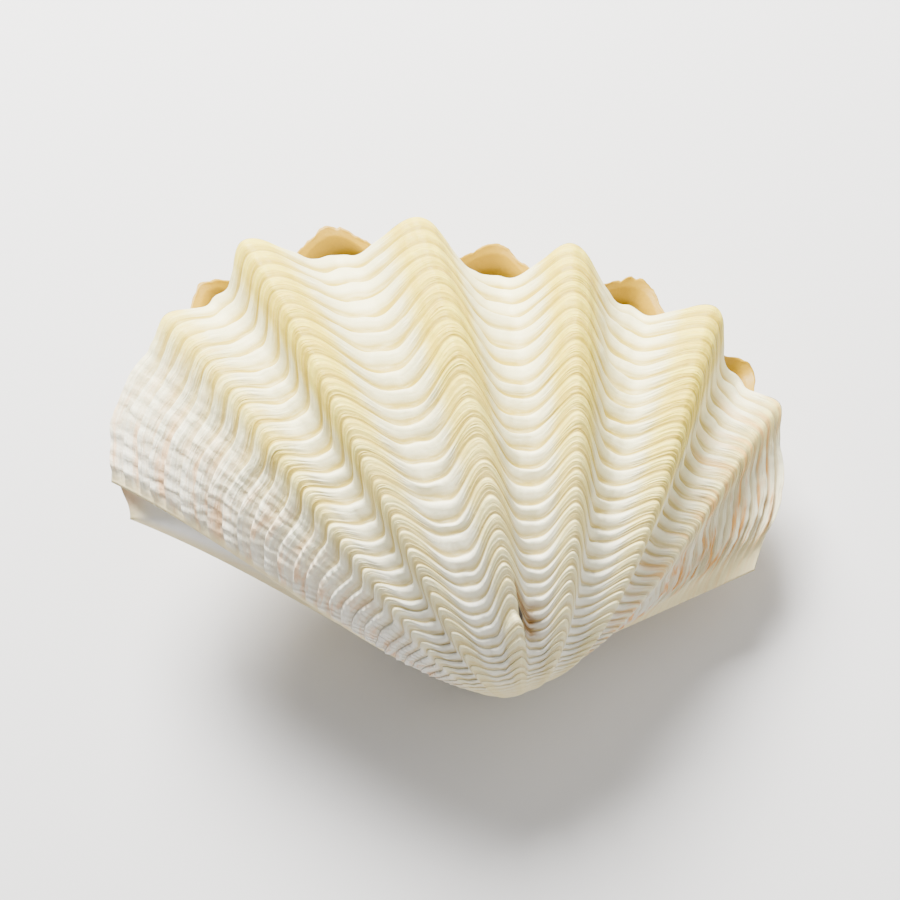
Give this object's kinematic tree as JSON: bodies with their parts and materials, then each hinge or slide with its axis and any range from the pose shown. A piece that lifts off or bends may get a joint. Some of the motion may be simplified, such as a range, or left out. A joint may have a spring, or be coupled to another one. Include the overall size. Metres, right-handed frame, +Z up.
{
  "type": "giant clam shell",
  "caption": "Closed pair of deeply folded clam valves with a scalloped margin, lying on the lower valve; a display or beach-scene shell.",
  "frame": {"origin": "centre of the bounding box on the surface the shell lies on", "axes": "+Z up, +X towards the hinge end of the shell, +Y from the beak towards the scalloped margin"},
  "size_m": [0.1786, 0.1284, 0.0864],
  "materials": {
    "upper_shell": "satin",
    "lower_shell": "satin",
    "ligament": "matte"
  },
  "bodies": {
    "root": {"upper_valve": "upper_shell", "lower_valve": "lower_shell", "ligament": "ligament"}
  },
  "joints": []
}
